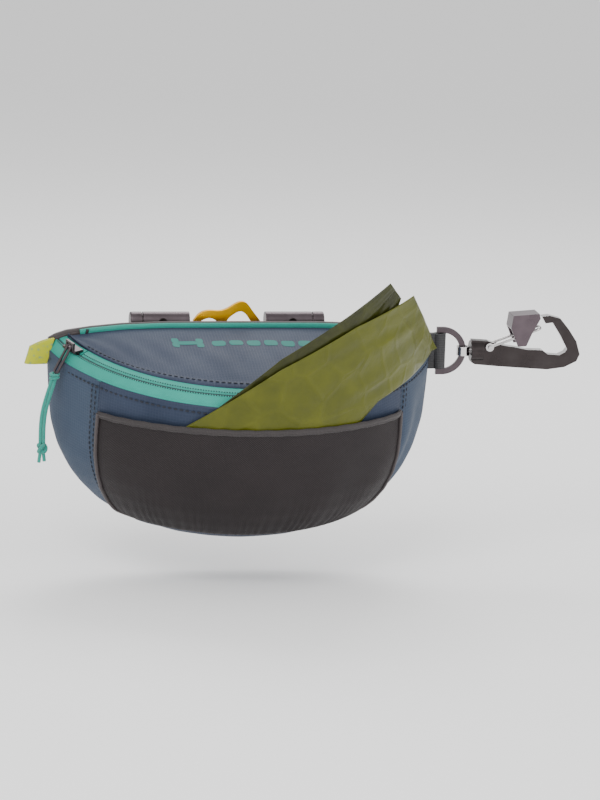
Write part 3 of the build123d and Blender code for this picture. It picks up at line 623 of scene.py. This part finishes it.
# a woven band: a short profile turned about the zip's axis
def bandPiece(name, profile, low, high, thickness, material, count=420):
    bandShare = np.linspace(0, 1, 14)
    radius, height = along(profile, bandShare)
    angle = np.linspace(low, high, count)[None, :]
    points = aboutZip(radius[:, None] + 0 * angle, height[:, None] + 0 * angle, angle)
    uv = np.stack(np.broadcast_arrays(np.radians(angle) * 105 * mm, (bandShare * 6 * mm)[:, None]), axis=-1)
    return thicken(gridPiece(name, points, uv=uv, material=material), thickness)


tapeGap = 0.5  # from the zip's circle to each tape's edge
lowTapeProfile = [(103.789 + tapeGap, 0.75), (104.6, 1.0), (105.6, 0.75), (107.0, -1.2), (109.3, -4.6)]
highTapeProfile = [(98.0, 2.8), (100.4, 2.0), (102.0, 1.5), (102.8, 1.1), (103.789 - tapeGap, 0.8)]
lowerTape = bandPiece("lowerZipTape", lowTapeProfile, -73.8, 69.5, 0.5, tealTape)
coverProfile = [(radius + 0.15, height + 0.15) for radius, height in lowTapeProfile]
endCover = bandPiece("endCover", coverProfile, 68.9, 75.0, 0.7, fabricGusset, 60)
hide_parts("lower_zip_tape")
upperTape = bandPiece("upperZipTape", highTapeProfile, -60.6, 60.6, 0.5, tealTape)
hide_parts("upper_zip_tape")
endTapes = []
for name, low, high in (("zipEndTapeLeft", -74.2, -61.0), ("zipEndTapeRight", 61.0, 74.2)):
    endTape = bandPiece(name, highTapeProfile, low, high, 0.5, tealTape, 60)
    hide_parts("zip_end_tape_left" if low < 0 else "zip_end_tape_right")
    endTapes.append(endTape)


# a row of nylon coil turns: flattened beads across the tape's edge
def coilRow(name, radius, height, low, high, pitch=1.5):
    angle = np.arange(low, high, math.degrees(pitch / 104))
    turn = np.linspace(0, 2 * np.pi, 8, endpoint=False)
    swell = np.array([0.1, 1.0, 1.0, 0.1])
    reach = np.array([-0.8, -0.5, 0.5, 0.8])
    radii = radius + reach[None, :, None] + 0 * turn[None, None, :]
    heights = height + swell[None, :, None] * np.sin(turn)[None, None, :] * 0.55
    sway = swell[None, :, None] * np.cos(turn)[None, None, :] * math.degrees(0.5 / 104)
    angles = angle[:, None, None] + sway
    points = aboutZip(radii + 0 * angles, heights + 0 * angles, angles)
    base = (np.arange(len(angle)) * 32)[:, None, None] + (np.arange(3) * 8)[None, :, None]
    first = base + np.arange(8)[None, None, :]
    second = base + (np.arange(8)[None, None, :] + 1) % 8
    return meshPiece(name, points, np.stack([first, second, second + 8, first + 8], axis=-1), coilNylon)


lowerCoil = coilRow("lowerCoilTurns", 104.55, -0.45, -60.5, 60.5)
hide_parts("lower_zip_coil")
upperCoil = coilRow("upperCoilTurns", 103.0, -0.45, -60.5, 60.5)
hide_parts("upper_zip_coil")
lowRow, lowOut = circlePath(105.4, 0.92, -73, 61, 1500)
lowThread = stitches("lowerCoilThread", lowRow, lowOut, 0.75, 0.65, 0.75, darkThread)
lowEdge, lowEdgeOut = circlePath(108.2, -2.9, -70, 60)
lowEdgeThread = stitches("lowerTapeThread", lowEdge, lowEdgeOut, 2.0, 0.8, 0.45, tealThread)
highRow, highOut = circlePath(102.1, 1.68, -60.3, 60.3, 1500)
highThread = stitches("upperCoilThread", highRow, highOut, 0.75, 0.65, 0.75, darkThread)
meetRow, meetOut = circlePath(103.8, 0.72, -73.5, 60.5, 1500)
meetLine = stitches("meetLine", meetRow, meetOut, 1.2, -0.1, 0.9, coilNylon)

# binding over the top edge, the teal strip in front of it and its bar tack
edgeX = np.linspace(-104.0, 102.5, 260)
bindingTop = np.stack([edgeX, np.full_like(edgeX, -0.8), topEdge(edgeX, -0.8, 0.0) - 0.4], axis=-1) * mm
binding = tubeAlong("topBinding", bindingTop, 3.6 * mm, 5.2 * mm, 20, material=bindingTape, power=0.55)
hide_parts("top_binding")
trimX = np.linspace(-88, 88, 220)
trimPath = np.stack([trimX, np.full_like(trimX, -3.2), topEdge(trimX, -3.2, 0.0) + 0.75], axis=-1) * mm
tealTrim = tubeAlong("tealTrim", trimPath, 1.5 * mm, 3.2 * mm, 14, material=tealTape, power=0.6)
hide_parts("teal_trim")
tackZ = float(topEdge(np.array([-84.0]), -4.0, 0.0)[0])
tackPath = np.array([[-84.6, -4.1, tackZ - 0.8], [-84.3, -4.1, tackZ + 0.9],
                     [-84.0, -4.1, tackZ + 2.2]]) * mm
barTack = tubeAlong("barTack", tackPath, 1.6 * mm, 0.9 * mm, 10, up=(0, 1, 0), material=blackThread)


# flat printed shapes laid on the lid: each outline is filled from its middle line and follows the dome
def onLid(name, outlines, material, lift=0.12):
    made = []
    for number, (low, high, bottom, top) in enumerate(outlines):
        gridX = np.linspace(low, high, 24)[None, :]
        gridS = np.linspace(bottom, top, 8)[:, None]
        middle = (gridX - (low + high) / 2) / ((high - low) / 2)
        squeeze = np.sqrt(np.maximum(1 - np.abs(middle) ** 6, 0.02))
        gridS = (bottom + top) / 2 + (gridS - (bottom + top) / 2) * squeeze
        points = lidSurface(gridX, gridS, lidLift(gridX, gridS) + lift)
        made.append(gridPiece(f"{name}{number}", points, material=material))
    return joined(name, made)


# a plain bone beside six short bars: a mark of no maker
bone = [(-38.0, -26.0, 0.26, 0.32), (-40.5, -36.6, 0.29, 0.37), (-40.5, -36.6, 0.21, 0.29),
        (-27.4, -23.5, 0.29, 0.37), (-27.4, -23.5, 0.21, 0.29)]
bars = [(-19.0 + 9.5 * k, -11.5 + 9.5 * k, 0.245, 0.335) for k in range(6)]
mark = onLid("lidMark", bone + bars, markInk)

print("mesh pocket")
pocket = {"span": 48.0, "topLine": -17.4, "droop": 6.0, "hemSize": 1.9}
share = np.linspace(0, 1, 110)[:, None]
pocketR, pocketH = along(pocketProfile, share[:, 0])
across = np.linspace(-1, 1, 230)[None, :]
angle = across * pocket["span"]
hold = 1 - np.abs(across) ** 10
pucker = 0.6 * np.sin(angle * 2.3 + 2 * np.sin(angle * 0.4)) * share ** 5 * hold
swell = wrinkles(angle, share, 21, 0.45) * hold * np.sin(np.pi * share) ** 0.5
edgeDrop = -2.4 * np.abs(across) ** 12
fall = (pocket["topLine"] + 13.5 - pocket["droop"] * across ** 2) * (1 - share) ** 1.5
pocketPoints = aboutZip(pocketR[:, None] + pucker + swell + edgeDrop, pocketH[:, None] + fall, angle)
uv = np.stack(np.broadcast_arrays(np.radians(angle) * 113 * mm, share * 90 * mm), axis=-1)
pocketPiece = gridPiece("meshPocket", pocketPoints, uv=uv, material=pocketMesh)
thicken(pocketPiece, 0.7, -1.0)
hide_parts("mesh_pocket")

hemShare = np.linspace(0, 1, 60)[:, None]
hemAngle = np.linspace(-pocket["span"], pocket["span"], 500)[None, :]
loopTurn = hemShare * 2 * np.pi
ribWave = 0.10 * np.sin(loopTurn * 9) + 0.07 * np.sin(hemAngle * 4.2) * np.abs(np.sin(loopTurn / 2))
hemSide = np.abs(hemAngle) / pocket["span"]
hemR = 112.9 + (0.85 + ribWave) * np.cos(loopTurn) + 0 * hemAngle - 2.0 * hemSide ** 14
hemH = (pocket["topLine"] + 0.6 - pocket["droop"] * hemSide ** 2
        + pocket["hemSize"] * np.sign(np.sin(loopTurn)) * np.abs(np.sin(loopTurn)) ** 0.7
        + 0.12 * np.sin(hemAngle * 1.1))
hemPoints = aboutZip(hemR, hemH, hemAngle + 0 * hemR)
hemUv = np.stack(np.broadcast_arrays(np.radians(hemAngle) * 113 * mm, hemShare * 11 * mm), axis=-1)
hemPiece = gridPiece("pocketHem", hemPoints[:, ::-1], uv=hemUv, material=hemTape)
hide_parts("pocket_hem")
sideSeams = []
for side in (-1, 1):
    seamShare = np.linspace(0.0, 1, 120)
    radius, height = along(pocketProfile, seamShare)
    fall = (pocket["topLine"] + 14.5 - pocket["droop"]) * (1 - seamShare) ** 1.5
    path = aboutZip(radius - 1.7, height + fall, np.full_like(radius, side * pocket["span"]))
    sideSeams.append(tubeAlong("pocketSide", path, 2.2 * mm, 2.6 * mm, 12, up=(0, -1, 0),
                               material=bindingTape))
footAngle = np.linspace(-pocket["span"], pocket["span"], 300)
footPath = aboutZip(np.full_like(footAngle, 90.4), np.full_like(footAngle, -86.6), footAngle)
sideSeams.append(tubeAlong("pocketFoot", footPath, 2.2 * mm, 2.0 * mm, 12, material=bindingTape))
pocketSeams = joined("pocketSeams", sideSeams)
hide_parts("pocket_side_seams")

print("bags")


# a film strip between an upper and a lower edge line, laid on a cylinder about the zip's axis, with
# crinkles that grow where the strip is free of the pocket
def bagPiece(name, radius, top, lowLine, seed, material):
    parts = np.random.default_rng(seed)
    u = np.linspace(0, 1, 150)[:, None]
    v = np.linspace(0, 1, 56)[None, :]
    upper, lower = (np.stack([np.interp(u[:, 0], np.linspace(0, 1, len(line)), np.array(line)[:, k])
                              for k in range(2)], -1) for line in (top, lowLine))
    x = lower[:, None, 0] * (1 - v) + upper[:, None, 0] * v
    z = lower[:, None, 1] * (1 - v) + upper[:, None, 1] * v
    wave = np.zeros_like(x)
    for k in range(6):
        wave += parts.uniform(0.1, 0.5) * np.sin(v * parts.uniform(6, 30) + u * parts.uniform(-6, 6) + k)
    free = np.clip((z + 20) / 40, 0, 1)
    ripple = wave * 0.25 + wave * free * 0.9
    forward = np.sqrt(np.maximum(radius ** 2 - np.clip(x, -90, 104) ** 2, 900)) + ripple * 0.6
    height = (z - pouch["axisZ"] + tiltSin * forward) / tiltCos
    y = pouch["axisY"] - tiltCos * forward - tiltSin * height
    points = np.stack([x, y, z], axis=-1) * mm
    return thicken(gridPiece(name, points, material=material), 0.25, 0.0)


bagFront = bagPiece("bagFront0", 111.7, [(-62, -38), (-39, -20), (8, 13), (48.5, 34.5), (84, 47)],
                    [(34, -50), (58, -18), (66, -10), (87, -1), (107, 9.5)], 5, bagFilm)
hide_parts("bag_front")
bagRear = bagPiece("bagRear0", 110.2, [(-50, -38), (-37, -21), (8, 18.5), (45, 41.5), (68, 56.5)],
                   [(24, -50), (50, -14), (62, 8), (69, 28), (76, 46.5)], 6, bagFilmShadedRear)
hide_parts("bag_rear")

print("pull, loops and webbing")
pull = {"strand": 1.9, "apart": 0.93, "width": 3.7, "hitch": 1.6}
routePoints = np.array([(-103.756, -21.647, -3.307), (-104.956, -21.847, -8.307),
                        (-107.156, -21.947, -15.307), (-109.156, -21.947, -23.307),
                        (-109.956, -22.047, -32.307), (-109.756, -21.847, -40.807)])
routeCurve = bpy.data.curves.new("pullRoute", "CURVE")
routeCurve.dimensions = "3D"
routeSpline = routeCurve.splines.new("NURBS")
routeSpline.points.add(len(routePoints) - 1)
for point, place in zip(routeSpline.points, routePoints):
    point.co = (*(place * mm), 1)
routeSpline.order_u = 3
routeSpline.use_endpoint_u = True
routeCurve.resolution_u = 24
routeHolder = bpy.data.objects.new("pullRoute", routeCurve)
bpy.context.scene.collection.objects.link(routeHolder)
bpy.context.view_layer.update()
routeMesh = bpy.data.meshes.new_from_object(routeHolder)
route = np.array([vertex.co[:] for vertex in routeMesh.vertices])
bpy.data.objects.remove(routeHolder)
strandSide = np.array([0.97, -0.25, 0.0])
strands = []
for side in (-1, 1):
    strandPath = route + strandSide * side * pull["apart"] * mm
    strandPath[0] += np.array([0, 0, 0.6]) * mm
    strands.append(tubeAlong("strand", strandPath, pull["strand"] * mm, sides=14, up=(0, 1, 0),
                             material=tealCord))
hitchTurn = np.linspace(0, 2 * np.pi, 60, endpoint=False)
for k in range(2):
    centre = route[0] + np.array([0, 0, 0.4 - 1.8 * k]) * mm
    ring = centre + np.stack([2.1 * np.cos(hitchTurn), 1.35 * np.sin(hitchTurn),
                              0.35 * np.sin(hitchTurn + k)], -1) * mm
    strands.append(tubeAlong("hitch", ring, pull["hitch"] * mm, sides=12, material=tealCord, closed=True))
pullCord = joined("pullCord", strands)
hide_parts("pull_cord")
end = route[-1]
knotTurn = np.linspace(0, 2 * np.pi, 120, endpoint=False)
knotParts = []
knotPath = end + np.stack([(1.5 + 0.8 * np.cos(3 * knotTurn)) * np.cos(2 * knotTurn),
                           (1.2 + 0.7 * np.cos(3 * knotTurn)) * np.sin(2 * knotTurn),
                           -2.7 + 2.0 * np.sin(3 * knotTurn)], -1) * mm
knotParts.append(tubeAlong("knotTurns", knotPath, pull["strand"] * mm, sides=12, material=tealCord,
                           closed=True))
for side, drop in ((-1, -10.5), (1, -9.8)):
    tail = np.linspace(0, 1, 20)[:, None]
    tailStart, tailEnd = np.array([[side * 0.8, 0, -4.5]]), np.array([[side * 1.5, -0.3, drop]])
    tailPath = end + (tailStart * (1 - tail) + tailEnd * tail) * mm
    knotParts.append(tubeAlong("tail", tailPath, pull["strand"] * mm, sides=12, up=(0, 1, 0),
                               material=tealCord))
pullKnot = joined("pullKnot", knotParts)
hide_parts("pull_knot")

# flat tape folded back on itself: its middle line is half an ellipse with straight ends, its width leans
loopShape = {"reach": 12.0, "gap": 4.2, "rootWidth": 14.0, "tipWidth": 9.5, "drop": 2.4, "lean": 0.28}
bend = np.linspace(-np.pi / 2, np.pi / 2, 60)
loopOut = np.concatenate([np.linspace(0, 0.45, 14, endpoint=False), 0.45 + 0.55 * np.cos(bend),
                          np.linspace(0.45, 0, 15)[1:]])
loopSide = np.concatenate([np.full(14, -1.0), np.sin(bend), np.full(14, 1.0)])
ease = (loopOut ** 1.5)[:, None]
widthHere = loopShape["rootWidth"] * (1 - ease) + loopShape["tipWidth"] * ease
acrossTape = np.linspace(-0.5, 0.5, 26)[None, :]
loopX = -104.0 - loopShape["reach"] * loopOut[:, None] + loopShape["lean"] * acrossTape * widthHere
loopY = -3.2 + loopShape["gap"] / 2 * loopSide[:, None] * (0.55 + 0.45 * ease) + 0 * acrossTape
loopZ = 6.3 - loopShape["drop"] * ease + acrossTape * widthHere
loopPoints = np.stack([loopX, loopY, loopZ], axis=-1) * mm
loopRun = runAlong(loopPoints[:, 13])
loopUv = np.stack(np.broadcast_arrays(acrossTape * 12 * mm, loopRun[:, None]), axis=-1)
grabLoop = gridPiece("grabLoop", loopPoints, uv=loopUv, material=limeBraid)
thicken(grabLoop, 1.5, 0.0)
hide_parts("grab_loop")

webTurn = np.radians(np.linspace(-150, 150, 60))
webRadius = 2.9
arc = np.stack([111.0 + webRadius * np.cos(webTurn), -0.8 + webRadius * np.sin(webTurn)], -1)
webLine = np.vstack([[[98.5, -2.5]], [[104.5, -2.4]], arc, [[104.5, 0.75]], [[99.5, 0.75]]])
fineRun = np.linspace(0, 1, 130)
runAt = runAlong(webLine)
webX = np.interp(fineRun * runAt[-1], runAt, webLine[:, 0])
webY = np.interp(fineRun * runAt[-1], runAt, webLine[:, 1])
webHeight = np.linspace(-9.7, 9.7, 40)
webZ = 5.5 + webHeight[None, :]
webPoints = np.stack(np.broadcast_arrays(webX[:, None], webY[:, None], webZ), axis=-1) * mm
webDown = (fineRun * runAt[-1] * mm)[:, None]
webUv = np.stack(np.broadcast_arrays((webHeight * mm)[None, :], webDown), axis=-1)
webbing = gridPiece("ringWebbing", webPoints, uv=webUv, material=blackWeb)
thicken(webbing, 1.3, 0.0)
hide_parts("ring_webbing")

print("metal")
cadFinish = {
    gunmetal: ("zip_slider", "pull_wire", "zip_stops", "clip_base_plate", "rod_housings", "clip_rivets",
               "hinge_rod", "end_caps", "belt_jaw", "d_ring"),
    darkFace: ("housing_screws", "clip_body"), goldPlate: ("belt_lever",), polished: ("swivel_eye",),
    springWire: ("torsion_springs", "gate_pin", "gate_wire"), mauvePlate: ("gate_lock",)}
for material, nodes in cadFinish.items():
    for node in nodes:
        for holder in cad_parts[node].material_slots:
            holder.material = material

# the clip body is polished on its sides past the collar, and dark on its faces
collarEnd = 137.5 * mm
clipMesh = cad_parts["clip_body"].data
clipMesh.materials.append(polished)
facing = np.empty(len(clipMesh.polygons) * 3)
clipMesh.polygons.foreach_get("normal", facing)
middle = np.empty_like(facing)
clipMesh.polygons.foreach_get("center", middle)
shining = (np.abs(facing.reshape(-1, 3)[:, 1]) < 0.8) & (middle.reshape(-1, 3)[:, 0] > collarEnd)
clipMesh.polygons.foreach_set("material_index", shining.astype(np.int32))
roundings = {"clip_body": 0.45, "belt_lever": 0.9, "end_caps": 0.4, "d_ring": 0.4, "gate_lock": 1.0}
for node, width in roundings.items():
    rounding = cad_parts[node].modifiers.new("rounding", "BEVEL")
    rounding.width = width * mm
    rounding.segments = 3
    rounding.limit_method = "ANGLE"
    rounding.angle_limit = math.radians(35)
    rounding.harden_normals = False
    if node == "clip_body":
        rounding.material = 1

print("riding")
onPouch = [binding, tealTrim, barTack, lowerTape, endCover, lowerCoil, meetLine, lowThread, lowEdgeThread,
           pocketPiece, hemPiece, pocketSeams, grabLoop, webbing]
for piece in wallPieces + onPouch + endTapes:
    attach(piece, "pouch")
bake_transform(lidPiece)
for piece in (upperTape, upperCoil, highThread, lidStitch, mark):
    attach(piece, "lid")
for piece in (pullCord, pullKnot):
    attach(piece, "zip_pull")
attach(bagFront, "front_bag")
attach(bagRear, "rear_bag")

bpy.context.view_layer.update()
